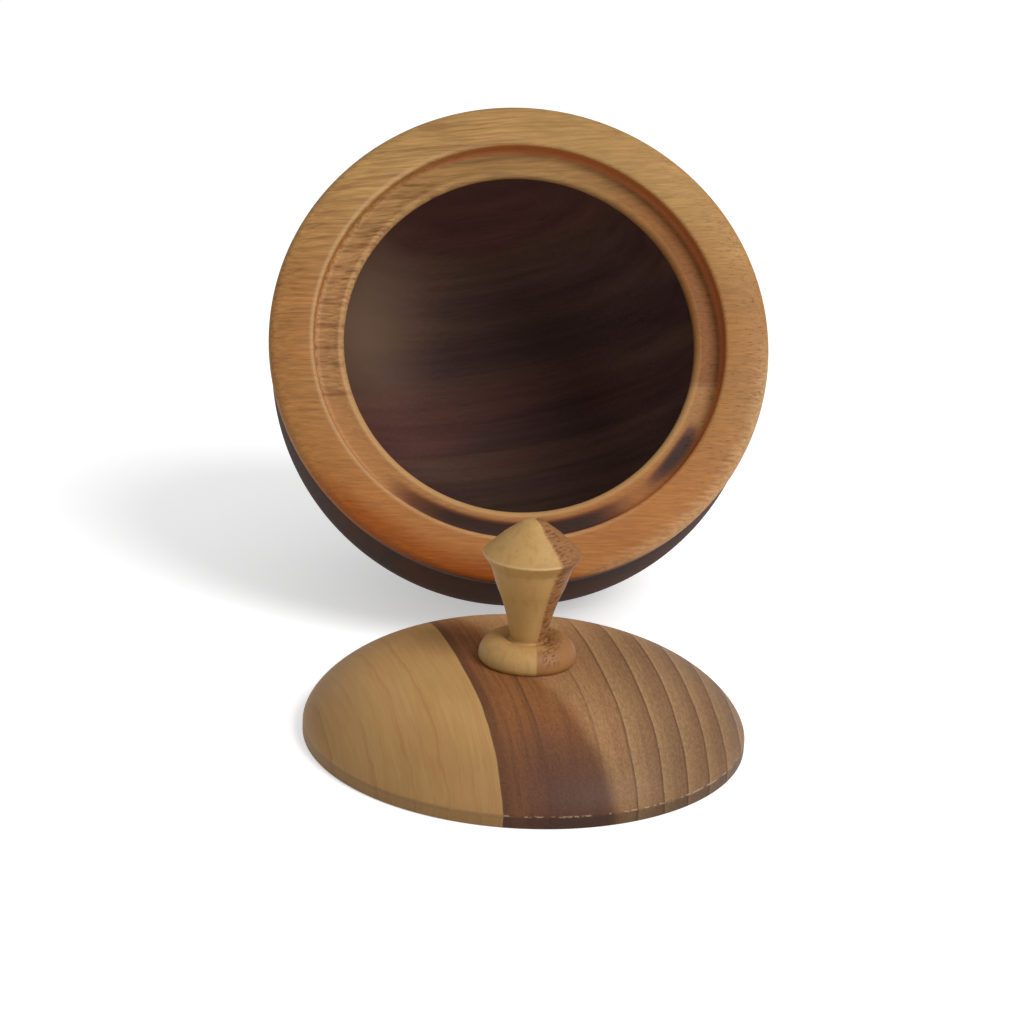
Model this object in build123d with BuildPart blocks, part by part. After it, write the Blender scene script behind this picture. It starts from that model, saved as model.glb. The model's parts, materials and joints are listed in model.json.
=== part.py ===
from build123d import *
import math
import os

os.makedirs("parts", exist_ok=True)

# A turned wooden sugar bowl, opened as it is shown: the bowl lies on its side with its
# mouth to the front, resting on its belly and on the edge of its foot, and the lid
# lies flat on the table in front of it with its knob up.
# Every piece is turned on a lathe, so each outline is half a section: radius, height.
# All sizes are in millimetres and angles in degrees.

# Bowl, measured down from the plane of its rim
lean = 33.5
body_radius = 64.4
belly_round = 45.8
belly_depth = 24.0
ring_thickness = 5.0
hole_radius = 45.4
foot_radius = 38.0
foot_arris = 0.8
foot_waist_radius = 35.2
foot_neck_radius = 36.0
foot_bead = 3.0
cavity_radius = 50.5
cavity_depth = 66.0
cavity_shoulder_radius = 49.4
cavity_shoulder_depth = 13.0

# Pale ring on the mouth, with the seat for the lid turned into it
ring_edge_radius = 64.7
ring_edge_depth = 2.9
ring_foot_radius = 63.8
body_top_radius = 63.6
face_outer_radius = 62.9
face_outer_depth = 0.9
face_middle_radius = 58.9
face_middle_depth = 0.15
seat_radius = 53.0
seat_arris = 1.0
seat_wall_depth = 3.0
groove_depth = 4.4
groove_round = 1.4
groove_dip = 0.2
lip_round = 1.6

# Lid, measured up from the table
lid_radius = 52.0
lid_edge_height = 2.7
lid_arris = 0.5
dome_shoulder = (51.7, 7.0)
dome_crown = (40.0, 20.6)
flat_height = 18.75
lid_hollow_radius = 41.0
lid_hollow_height = 6.5
lid_in_front = 81.6

# Knob, measured up from the lid, with its tenon glued into the lid
flange_radius = 11.5
flange_foot_radius = 10.9
flange_waist_height = 1.2
flange_top_radius = 4.5
flange_top_height = 4.9
neck_radius = 4.1
neck_height = 5.4
stem_lower = (5.4, 11.1)
stem_middle = (6.8, 15.5)
stem_upper = (8.1, 18.8)
stem_top = (9.8, 23.8)
head_radius = 11.6
head_height = 26.3
head_shoulder = (6.9, 30.8)
head_crown = (2.7, 34.0)
knob_height = 34.6
tenon_radius = 4.0
tenon_length = 8.0
glue_gap = 0.05
flange_seat_margin = 0.3

# How the bowl lies: the belly's round and the foot's arris both touch the table
lean_sin = math.sin(math.radians(lean))
lean_cos = math.cos(math.radians(lean))
belly_centre_radius = body_radius - belly_round
mouth_height = belly_centre_radius * lean_cos + belly_depth * lean_sin + belly_round
foot_reach = mouth_height - foot_arris - (foot_radius - foot_arris) * lean_cos
bowl_height = foot_reach / lean_sin + foot_arris

# The origin is on the table, below the middle of the whole arrangement
arris_depth = bowl_height - foot_arris
arris_radius = foot_radius - foot_arris
bowl_behind_mouth = arris_depth * lean_cos + arris_radius * lean_sin + foot_arris
mouth_y = (lid_in_front + lid_radius - bowl_behind_mouth) / 2
lid_y = mouth_y - lid_in_front

# Planes of the half sections: the bowl's axis leans, the lid's is upright
mouth_centre = (0, mouth_y, mouth_height)
bowl_axis = Axis(mouth_centre, (0, -lean_cos, lean_sin))
bowl_section = Plane(origin=mouth_centre, x_dir=(1, 0, 0), z_dir=(0, -lean_sin, -lean_cos))
lid_centre = (0, lid_y, 0)
lid_axis = Axis(lid_centre, (0, 0, 1))
lid_section = Plane(origin=lid_centre, x_dir=(1, 0, 0), z_dir=(0, -1, 0))

# Dark body: a hollow turned from one block, with a small waisted foot
neck_angle = math.degrees(math.acos((foot_neck_radius - belly_centre_radius) / belly_round))
foot_bead_depth = bowl_height - foot_bead
foot_waist_depth = foot_bead_depth - foot_bead

with BuildPart() as bowl_body:
    with BuildSketch(bowl_section):
        with BuildLine():
            joint_face = Line((hole_radius, -ring_thickness), (body_top_radius, -ring_thickness))
            side = TangentArc((body_radius, -belly_depth), joint_face @ 1, tangent=(0, 1))
            belly = CenterArc((belly_centre_radius, -belly_depth), belly_round, 0, -neck_angle)
            waist = ThreePointArc(
                belly @ 1,
                (foot_waist_radius, -foot_waist_depth),
                (foot_radius, -foot_bead_depth),
            )
            foot_side = Line(waist @ 1, (foot_radius, foot_arris - bowl_height))
            foot_round = CenterArc(
                (foot_radius - foot_arris, foot_arris - bowl_height), foot_arris, 0, -90
            )
            foot_flat = Line(foot_round @ 1, (0, -bowl_height))
            floor_middle = Line(foot_flat @ 1, (0, -cavity_depth))
            hollow = EllipticalCenterArc(
                (0, -belly_depth),
                cavity_radius,
                cavity_depth - belly_depth,
                start_angle=-90,
                arc_size=90,
            )
            undercut = ThreePointArc(
                (cavity_radius, -belly_depth),
                (cavity_shoulder_radius, -cavity_shoulder_depth),
                joint_face @ 0,
            )
        make_face()
    revolve(axis=bowl_axis)
bowl_body.part.label = "bowl_body"
export_step(bowl_body.part, "parts/bowl_body.step")

# Pale ring: a rounded face outside, and inside it the stepped seat, a shallow groove
# and a rounded lip that the lid stands on
lip_radius = hole_radius + lip_round
lip_depth = ring_thickness - lip_round
groove_outer = seat_radius - groove_round
groove_middle_depth = (lip_depth + groove_depth) / 2 + groove_dip
groove_middle = ((lip_radius + groove_outer) / 2, -groove_middle_depth)

with BuildPart() as rim_ring:
    with BuildSketch(bowl_section):
        with BuildLine():
            lip = CenterArc((lip_radius, -ring_thickness), lip_round, 180, -90)
            groove = ThreePointArc(lip @ 1, groove_middle, (groove_outer, -groove_depth))
            cove = TangentArc(groove @ 1, (seat_radius, -seat_wall_depth), tangent=(1, 0))
            wall = Line(cove @ 1, (seat_radius, -seat_arris))
            arris = CenterArc((seat_radius + seat_arris, -seat_arris), seat_arris, 180, -90)
            face = ThreePointArc(
                arris @ 1,
                (face_middle_radius, -face_middle_depth),
                (face_outer_radius, -face_outer_depth),
            )
            nose = TangentArc(face @ 1, (ring_edge_radius, -ring_edge_depth), tangent=face % 1)
            under = TangentArc(nose @ 1, (ring_foot_radius, -ring_thickness), tangent=nose % 1)
            glue_face = Line(under @ 1, lip @ 0)
        make_face()
    revolve(axis=bowl_axis)
rim_ring.part.label = "rim_ring"
export_step(rim_ring.part, "parts/rim_ring.step")

# Lid: a low dome on a thin upright edge, hollowed a little underneath, with a flat
# for the knob's flange and a blind hole for its tenon
flat_radius = flange_foot_radius + flange_seat_margin

with BuildPart() as lid:
    with BuildSketch(lid_section):
        with BuildLine():
            under_hollow = TangentArc(
                (0, lid_hollow_height), (lid_hollow_radius, 0), tangent=(1, 0)
            )
            rest_face = Line(under_hollow @ 1, (lid_radius - lid_arris, 0))
            edge_round = CenterArc((lid_radius - lid_arris, lid_arris), lid_arris, -90, 90)
            edge = Line(edge_round @ 1, (lid_radius, lid_edge_height))
            dome = Bezier(edge @ 1, dome_shoulder, dome_crown, (flat_radius, flat_height))
            flange_flat = Line(dome @ 1, (tenon_radius + glue_gap, flat_height))
            hole_side = Line(flange_flat @ 1, (tenon_radius + glue_gap, flat_height - tenon_length))
            hole_end = Line(hole_side @ 1, (0, flat_height - tenon_length))
            lid_middle = Line(hole_end @ 1, under_hollow @ 0)
        make_face()
    revolve(axis=lid_axis)
lid.part.label = "lid"
export_step(lid.part, "parts/lid.step")

# Knob: one turning with a round flange, a waisted stem, a sharp-edged pointed head
# and a tenon below the flange
knob_centre = (0, lid_y, flat_height)
knob_axis = Axis(knob_centre, (0, 0, 1))
knob_section = Plane(origin=knob_centre, x_dir=(1, 0, 0), z_dir=(0, -1, 0))
tenon_end = glue_gap - tenon_length

with BuildPart() as knob:
    with BuildSketch(knob_section):
        with BuildLine():
            tenon_side = Line((tenon_radius, tenon_end), (tenon_radius, 0))
            flange_foot = Line(tenon_side @ 1, (flange_foot_radius, 0))
            flange_edge = TangentArc(
                (flange_radius, flange_waist_height), flange_foot @ 1, tangent=(0, -1)
            )
            flange_dome = TangentArc(
                (flange_radius, flange_waist_height),
                (flange_top_radius, flange_top_height),
                tangent=(0, 1),
            )
            neck = Line(flange_dome @ 1, (neck_radius, neck_height))
            stem = Spline(neck @ 1, stem_lower, stem_middle, stem_upper, stem_top)
            head_under = Line(stem @ 1, (head_radius, head_height))
            head_side = Line(head_under @ 1, head_shoulder)
            head_slope = Line(head_side @ 1, head_crown)
            head_tip = TangentArc((0, knob_height), head_crown, tangent=(1, 0))
            knob_middle = Line((0, knob_height), (0, tenon_end))
            tenon_foot = Line(knob_middle @ 1, tenon_side @ 0)
        make_face()
    revolve(axis=knob_axis)
knob.part.label = "knob"
export_step(knob.part, "parts/knob.step")

print("mouth centre", [round(v, 3) for v in mouth_centre], "bowl height", round(bowl_height, 3))
print("lid centre y", round(lid_y, 3), "lid with knob", round(flat_height + knob_height, 3), "high")
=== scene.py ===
# %% [markdown]
# # A wooden sugar bowl, opened
# Four pieces of wood, each turned on a lathe: a dark bowl, a pale ring glued round its
# mouth, a low lid and the knob on the lid. The bowl lies on its side, and the lid lies
# flat in front of it.
# The imported model is the fixed frame. It gives every piece's place and size, and this
# script dresses it. The dressed bowl has to stay inside it.

# %% Load the frame
import json
import math

import bmesh
import bpy
from mathutils import Matrix, Vector


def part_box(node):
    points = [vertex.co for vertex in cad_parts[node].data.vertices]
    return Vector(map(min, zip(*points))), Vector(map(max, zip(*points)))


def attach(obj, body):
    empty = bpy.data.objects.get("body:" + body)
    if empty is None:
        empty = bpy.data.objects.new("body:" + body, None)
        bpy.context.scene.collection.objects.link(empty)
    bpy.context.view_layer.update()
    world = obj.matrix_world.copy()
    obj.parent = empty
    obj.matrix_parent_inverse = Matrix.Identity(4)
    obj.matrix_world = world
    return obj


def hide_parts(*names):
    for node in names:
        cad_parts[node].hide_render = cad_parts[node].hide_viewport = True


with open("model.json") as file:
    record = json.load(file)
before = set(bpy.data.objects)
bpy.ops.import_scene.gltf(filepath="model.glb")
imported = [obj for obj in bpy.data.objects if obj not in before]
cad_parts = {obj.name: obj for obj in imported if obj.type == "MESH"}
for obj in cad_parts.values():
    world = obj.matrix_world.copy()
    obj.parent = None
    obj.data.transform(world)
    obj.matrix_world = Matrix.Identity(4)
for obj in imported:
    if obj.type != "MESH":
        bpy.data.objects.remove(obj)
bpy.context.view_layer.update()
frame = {"record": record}
MM = 0.001


def mm(*lengths):
    """Lengths given in millimetres, as metres."""
    return tuple(length * MM for length in lengths)


# %% [markdown]
# Where the turnings stand comes from the frame. The foot's mount is a point on the
# bowl's axis with the axis' direction, so the middle of the mouth is one bowl height
# back along it. The lid and its knob share an upright axis, in the middle of the lid.

# %% Lathe axes
BOWL_HEIGHT = 78.23 * MM
LID_FLAT_HEIGHT = 18.75 * MM

foot = next(m for m in frame["record"]["mounts"] if m["name"] == "foot")
foot_axis = Vector(foot["axis"])
mouth = Vector(foot["pos_m"]) - foot_axis * BOWL_HEIGHT
bowl_tilt = Vector((math.atan2(foot_axis.y, -foot_axis.z), 0, 0))

lid_low, lid_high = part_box("lid")
lid_middle = Vector(((lid_low.x + lid_high.x) / 2, (lid_low.y + lid_high.y) / 2, 0))
knob_middle = lid_middle + Vector((0, 0, LID_FLAT_HEIGHT))
upright = Vector((0, 0, 0))
print("mouth", tuple(round(v, 5) for v in mouth), "tilt", round(math.degrees(bowl_tilt.x), 2))

# %% [markdown]
# Nodes are easier to read as Python. One small class wraps a socket, so that sums of
# masks and distances are written as plain expressions, and each operator adds the Math
# node that it stands for.

# %% Sockets as Python values
class Value:
    """One output socket, with Python's arithmetic."""

    def __init__(self, tree, socket):
        self.tree = tree
        self.socket = socket

    def math(self, operation, first, second):
        settings = {"operation": operation}
        return self.tree.node("ShaderNodeMath", settings, {0: first, 1: second})

    def __add__(self, other):
        return self.math("ADD", self, other)

    def __sub__(self, other):
        return self.math("SUBTRACT", self, other)

    def __mul__(self, other):
        return self.math("MULTIPLY", self, other)

    def __truediv__(self, other):
        return self.math("DIVIDE", self, other)

    def __rsub__(self, other):
        return self.math("SUBTRACT", other, self)

    def __neg__(self):
        return self.math("MULTIPLY", self, -1)

    def __abs__(self):
        return self.math("ABSOLUTE", self, 0)

    def __mod__(self, other):
        return self.math("MODULO", self, other)

    __radd__ = __add__
    __rmul__ = __mul__

    def whole(self):
        return self.math("FLOOR", self, 0)

    def fraction(self):
        return self.math("FRACT", self, 0)


print("sockets add, subtract, multiply and divide like numbers")

# %% [markdown]
# A second class makes any node in one call from its type, its settings and its inputs.
# The settings are made first, because they decide which sockets a node has. Both classes
# serve the lathe below and all the materials.

# %% Nodes in one call
class Tree:
    """Nodes of one tree, made with their settings and inputs in one call."""

    def __init__(self, nodes, links):
        self.nodes = nodes
        self.links = links

    def node(self, kind, settings=None, inputs=None, output=0):
        made = self.nodes.new(kind)
        for name, value in (settings or {}).items():
            setattr(made, name, value)
        for name, value in (inputs or {}).items():
            if isinstance(value, Value):
                self.links.new(value.socket, made.inputs[name])
            else:
                made.inputs[name].default_value = value
        return Value(self, made.outputs[output])

    def split(self, vector):
        first = self.node("ShaderNodeSeparateXYZ", None, {0: vector})
        return [Value(self, socket) for socket in first.socket.node.outputs]

    def join(self, x, y, z):
        return self.node("ShaderNodeCombineXYZ", None, {0: x, 1: y, 2: z})


print("a tree makes nodes, and splits and joins vectors")

# %% [markdown]
# Every piece is a turning, so its whole shape follows one rule: an outline goes round an
# axis. Spin or the Screw modifier could do it, but a Geometry Nodes lathe keeps the rule
# in one tree with named inputs. It lays a flat grid, reads the outline's points for its
# rows, and bends its columns round the axis. Merging by distance closes the seam and the
# poles. The tree ends in Realize Instances and Set Material, and works on real points, so
# a small arris keeps its own ring of faces.

# %% The lathe
SEAM_GAP = 0.002 * MM
FULL_TURN = 2 * math.pi


def lathe_tree():
    group = bpy.data.node_groups.new("lathe", "GeometryNodeTree")
    sockets = {
        "Outline": "NodeSocketObject",
        "Facets": "NodeSocketInt",
        "Centre": "NodeSocketVector",
        "Tilt": "NodeSocketVector",
        "Finish": "NodeSocketMaterial",
    }
    for name, kind in sockets.items():
        group.interface.new_socket(name, in_out="INPUT", socket_type=kind)
    group.interface.new_socket("Turning", in_out="OUTPUT", socket_type="NodeSocketGeometry")
    tree = Tree(group.nodes, group.links)
    entry = group.nodes.new("NodeGroupInput")
    given = {name: Value(tree, entry.outputs[name]) for name in sockets}

    outline = tree.node(
        "GeometryNodeObjectInfo", None, {"Object": given["Outline"]}, "Geometry"
    )
    size = {"component": "CURVE"}
    rows = tree.node("GeometryNodeAttributeDomainSize", size, {0: outline}, "Point Count")
    cells = {"Vertices X": given["Facets"] + 1, "Vertices Y": rows}
    grid = tree.node("GeometryNodeMeshGrid", None, cells, "Mesh")

    index = tree.node("GeometryNodeInputIndex")
    row = index % rows
    column = ((index + 0.5) / rows).whole()
    place = tree.node("GeometryNodeInputPosition")
    sample = {"data_type": "FLOAT_VECTOR"}
    point = {"Geometry": outline, "Value": place, "Index": row}
    radius, _, height = tree.split(tree.node("GeometryNodeSampleIndex", sample, point))
    angle = column / given["Facets"] * FULL_TURN
    across = tree.node("ShaderNodeMath", {"operation": "COSINE"}, {0: angle})
    away = tree.node("ShaderNodeMath", {"operation": "SINE"}, {0: angle})
    bent = tree.join(radius * across, radius * away, height)

    shape = tree.node("GeometryNodeSetPosition", None, {"Geometry": grid, "Position": bent})
    seam = {"Geometry": shape, "Distance": SEAM_GAP}
    shape = tree.node("GeometryNodeMergeByDistance", None, seam)
    turn = tree.node("FunctionNodeEulerToRotation", None, {0: given["Tilt"]})
    stand = {"Geometry": shape, "Translation": given["Centre"], "Rotation": turn}
    shape = tree.node("GeometryNodeTransform", None, stand)
    shape = tree.node("GeometryNodeSetShadeSmooth", None, {"Geometry": shape})
    shape = tree.node("GeometryNodeRealizeInstances", None, {"Geometry": shape})
    finish = {"Geometry": shape, "Material": given["Finish"]}
    shape = tree.node("GeometryNodeSetMaterial", None, finish)
    group.links.new(shape.socket, group.nodes.new("NodeGroupOutput").inputs["Turning"])
    return group


lathe = lathe_tree()
print("lathe inputs:", [s.name for s in lathe.interface.items_tree if s.in_out == "INPUT"])

# %% [markdown]
# An outline is a list of points, radius and height, in millimetres. Its round stretches
# come from five small helpers: an arc about a centre, an arc that leaves a point in a
# given direction, an arc through three points, a Bezier curve, and a smooth curve through
# several points.

# %% Curves of an outline
ARC_STEPS = 14
OUTWARD, UP, DOWN = (1, 0), (0, 1), (0, -1)


def arc(centre, radius, start, sweep, steps=ARC_STEPS):
    """An arc about a centre; angles in degrees from the outward direction, up positive."""
    angles = [math.radians(start + sweep * k / steps) for k in range(steps + 1)]
    return [(centre[0] + radius * math.cos(a), centre[1] + radius * math.sin(a)) for a in angles]


def swing(start, end, heading, steps=ARC_STEPS):
    """The arc that leaves start in the direction of heading and reaches end."""
    start, chord, heading = Vector(start), Vector(end) - Vector(start), Vector(heading)
    side = Vector((-heading.y, heading.x)).normalized()
    centre = start + side * chord.length_squared / (2 * chord.dot(side))
    turn = 2 * math.atan2(heading.cross(chord), heading.dot(chord))
    spoke = start - centre
    return [tuple(centre + Matrix.Rotation(turn * k / steps, 2) @ spoke) for k in range(steps + 1)]


def bow(start, middle, end, steps=ARC_STEPS):
    """The arc through three points."""
    start, middle, end = Vector(start), Vector(middle), Vector(end)
    chord = end - start
    bend = math.pi - (start - middle).angle(end - middle)
    sign = math.copysign(1, chord.cross(middle - start))
    return swing(start, end, Matrix.Rotation(sign * bend, 2) @ chord, steps)


def bezier(a, b, c, d, steps):
    """A cubic Bezier curve."""
    a, b, c, d = map(Vector, (a, b, c, d))
    shares = [k / steps for k in range(steps + 1)]
    return [
        tuple(a * (1 - t) ** 3 + b * 3 * t * (1 - t) ** 2 + c * 3 * t * t * (1 - t) + d * t ** 3)
        for t in shares
    ]


def through(points, steps=ARC_STEPS):
    """A smooth curve through all the points."""
    points = [Vector(p) for p in points]
    ends = [points[0] * 2 - points[1], *points, points[-1] * 2 - points[-2]]
    made = []
    for before, a, b, after in zip(ends, ends[1:], ends[2:], ends[3:]):
        made += bezier(a, a + (b - before) / 6, b - (after - a) / 6, b, steps)
    return made


print("a quarter arc of 10 mm ends at", [round(v, 3) for v in arc((0, 0), 10, 0, 90)[-1]])

# %% [markdown]
# Sharp corners of the wood are sanded, so a corner may carry a third number, its
# rounding. Last, an outline is put in order, so that every turning's faces point outwards.

# %% Corners and order
CORNER_STEPS = 5
CORNER_MARGIN = 0.12


def soften(points):
    """Corners given as (radius, height, rounding) become small arcs."""
    made = []
    for before, corner, after in zip([points[-1], *points], points, [*points[1:], points[0]]):
        if len(corner) == 2:
            made.append(tuple(corner))
            continue
        tip = Vector(corner[:2])
        back = (Vector(before[:2]) - tip).normalized()
        on = (Vector(after[:2]) - tip).normalized()
        half = back.angle(on) / 2
        reach = corner[2] / math.tan(half)
        start, end = tip + back * reach, tip + on * reach
        made.append(tuple(start + back * CORNER_MARGIN))
        made += swing(start, end, -back, CORNER_STEPS)
        made.append(tuple(end + on * CORNER_MARGIN))
    return made


def tidy(points):
    """Drops doubled points and turns the outline so that the wood is on its left."""
    kept = [points[0]]
    for point in points[1:]:
        if (Vector(point) - Vector(kept[-1])).length > SEAM_GAP / MM:
            kept.append(point)
    pairs = zip(kept, [*kept[1:], kept[0]])
    area = sum(a[0] * b[1] - b[0] * a[1] for a, b in pairs)
    return kept if area > 0 else kept[::-1]


square = [(0, 0), (1, 0), (1, 1, 0.1), (0, 1)]
print("a square with one rounded corner has", len(tidy(soften(square))), "points")

# %% [markdown]
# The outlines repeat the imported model's driving sizes, in millimetres. The bowl's heights
# are measured from the plane of its rim, so they are negative. The body is a hollow that
# is undercut below the ring, with a round belly and a small waisted foot.

# %% Outline of the body
RING_THICKNESS = 5.0
HOLE_RADIUS = 45.4
BODY_TOP_RADIUS = 63.6
BELLY_ROUND = 45.8
BELLY_RADIUS = 64.4
BELLY_DEPTH = 24.0
CAVITY_RADIUS = 50.5
CAVITY_DEPTH = 66.0
UNDERCUT = (49.4, -13.0)
FOOT_RADIUS = 38.0
FOOT_WAIST_RADIUS = 35.2
FOOT_NECK_RADIUS = 36.0
FOOT_DEPTH = BOWL_HEIGHT / MM
FOOT_BEAD = 3.0
FOOT_ARRIS = 0.8
BEAD_ROUNDING = 0.3
CAVITY_STEPS = 40
BELLY_STEPS = 32


def body_outline():
    belly_middle = BELLY_RADIUS - BELLY_ROUND
    neck = math.degrees(math.acos((FOOT_NECK_RADIUS - belly_middle) / BELLY_ROUND))
    hollow = [
        (CAVITY_RADIUS * r, -BELLY_DEPTH + (CAVITY_DEPTH - BELLY_DEPTH) * h)
        for r, h in arc((0, 0), 1, -90, 90, CAVITY_STEPS)
    ]
    undercut = bow((CAVITY_RADIUS, -BELLY_DEPTH), UNDERCUT, (HOLE_RADIUS, -RING_THICKNESS))
    side = swing((BELLY_RADIUS, -BELLY_DEPTH), (BODY_TOP_RADIUS, -RING_THICKNESS), UP)[::-1]
    belly = arc((belly_middle, -BELLY_DEPTH), BELLY_ROUND, 0, -neck, BELLY_STEPS)
    bead = FOOT_BEAD - FOOT_DEPTH
    waist = bow(belly[-1], (FOOT_WAIST_RADIUS, bead + FOOT_BEAD), (FOOT_RADIUS, bead))
    corners = [(FOOT_RADIUS, bead, BEAD_ROUNDING), (FOOT_RADIUS, -FOOT_DEPTH, FOOT_ARRIS)]
    return hollow + undercut + side + belly + soften([*waist[:-1], *corners, (0, -FOOT_DEPTH)])


outlines = {"body": tidy(body_outline())}
print("the body's outline has", len(outlines["body"]), "points")

# %% [markdown]
# The ring has the most to show: a rounded lip round the hole, a shallow groove, the wall
# of the seat with a small arris on top, and a face that falls off at its outer edge.

# %% Outline of the ring
LIP_ROUND = 1.6
GROOVE_MIDDLE = (49.3, -4.1)
GROOVE_DEPTH = 4.4
GROOVE_ROUND = 1.4
SEAT_RADIUS = 53.0
SEAT_WALL_DEPTH = 3.0
SEAT_ARRIS = 1.0
WALL_MARGIN = 0.2
FACE_MIDDLE = (58.9, -0.15)
FACE_OUTER = (62.9, -0.9)
NOSE = (64.68, -2.9)
RING_FOOT_RADIUS = 63.8
ARRIS_STEPS = 10
FACE_STEPS = 24


def end_heading(points):
    """The direction in which a line of points ends."""
    return Vector(points[-1]) - Vector(points[-2])


def ring_outline():
    lip = arc((HOLE_RADIUS + LIP_ROUND, -RING_THICKNESS), LIP_ROUND, 180, -90)
    groove = bow(lip[-1], GROOVE_MIDDLE, (SEAT_RADIUS - GROOVE_ROUND, -GROOVE_DEPTH))
    cove = swing(groove[-1], (SEAT_RADIUS, -SEAT_WALL_DEPTH), OUTWARD)
    wall_ends = (WALL_MARGIN - SEAT_WALL_DEPTH, -SEAT_ARRIS - WALL_MARGIN)
    wall = [(SEAT_RADIUS, height) for height in wall_ends]
    arris = arc((SEAT_RADIUS + SEAT_ARRIS, -SEAT_ARRIS), SEAT_ARRIS, 180, -90, ARRIS_STEPS)
    face = bow(arris[-1], FACE_MIDDLE, FACE_OUTER, FACE_STEPS)
    nose = swing(face[-1], NOSE, end_heading(face))
    under = swing(nose[-1], (RING_FOOT_RADIUS, -RING_THICKNESS), end_heading(nose))
    return lip + groove + cove + wall + arris + face + nose + under + [lip[0]]


outlines["rim"] = tidy(ring_outline())
print("the ring's outline has", len(outlines["rim"]), "points")

# %% [markdown]
# The lid's heights are measured from the table. Its dome is one Bezier curve from a thin
# upright edge to the flat for the knob, where a blind hole takes the knob's tenon. It is
# hollowed a little underneath.

# %% Outline of the lid
LID_RADIUS = 52.0
LID_ARRIS = 0.5
LID_EDGE_HEIGHT = 2.7
EDGE_MARGIN = 0.3
DOME_SHOULDER = (51.7, 7.0)
DOME_CROWN = (40.0, 20.6)
FLAT_RADIUS = 11.2
LID_HOLLOW_RADIUS = 41.0
LID_HOLLOW_HEIGHT = 6.5
TENON_HOLE_RADIUS = 4.05
TENON_HOLE_DEPTH = 8.0
HOLLOW_STEPS = 24
EDGE_STEPS = 6
DOME_STEPS = 60


def lid_outline():
    flat = LID_FLAT_HEIGHT / MM
    hollow = swing((0, LID_HOLLOW_HEIGHT), (LID_HOLLOW_RADIUS, 0), OUTWARD, HOLLOW_STEPS)
    edge = arc((LID_RADIUS - LID_ARRIS, LID_ARRIS), LID_ARRIS, -90, 90, EDGE_STEPS)
    edge_top = [(LID_RADIUS, LID_EDGE_HEIGHT - EDGE_MARGIN)]
    foot = (LID_RADIUS, LID_EDGE_HEIGHT)
    dome = bezier(foot, DOME_SHOULDER, DOME_CROWN, (FLAT_RADIUS, flat), DOME_STEPS)
    floor = flat - TENON_HOLE_DEPTH
    hole = [(TENON_HOLE_RADIUS, flat), (TENON_HOLE_RADIUS, floor), (0, floor)]
    return hollow + edge + edge_top + dome + hole


outlines["lid"] = tidy(lid_outline())
print("the lid's outline has", len(outlines["lid"]), "points")

# %% [markdown]
# The knob's heights are measured from the lid's flat, so its tenon lies below zero. The
# stem is a smooth curve through five points, and a third number rounds a corner of the
# head: its sharp edge hardly, the shoulder of its point the most.

# %% Outline of the knob
TENON = [(0, -7.95), (4, -7.95), (4, 0), (10.7, 0)]
FLANGE_FOOT = (10.9, 0)
FLANGE_EDGE = (11.5, 1.2)
FLANGE_TOP = (4.5, 4.9)
STEM = [(4.1, 5.4), (5.4, 11.1), (6.8, 15.5), (8.1, 18.8), (9.5, 23.3)]
HEAD = [(9.5, 23.3), (9.8, 23.8, 1.2), (11.6, 26.3, 0.3), (6.9, 30.8, 2.5), (2.8, 33.9)]
CROWN = (2.7, 34.0)
TIP = (0, 34.6)
FLANGE_FOOT_STEPS = 6
FLANGE_STEPS = 24
TIP_STEPS = 8


def knob_outline():
    flange_foot = swing(FLANGE_EDGE, FLANGE_FOOT, DOWN, FLANGE_FOOT_STEPS)[::-1]
    flange = swing(FLANGE_EDGE, FLANGE_TOP, UP, FLANGE_STEPS)
    tip = swing(TIP, CROWN, OUTWARD, TIP_STEPS)[::-1]
    return TENON + flange_foot + flange + through(STEM) + soften(HEAD)[1:] + tip


outlines["knob"] = tidy(knob_outline())
print("the knob's outline has", len(outlines["knob"]), "points")

# %% [markdown]
# A finish is one material. Each pattern is laid in the piece's own lathe axes, so it
# stays with the wood in every pose, and its sizes are real lengths, in metres. A streak
# is noise that is pulled out along the grain, given by its length and width. A mask is a
# soft step up, a soft step down, the band between two steps or the surroundings of a line.

# %% Finish helpers
STREAK_ROUGHNESS = 0.55
FINE_DETAIL = 3.0
PLAIN_DETAIL = 2.0
SMOOTH_DETAIL = 1.0


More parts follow.
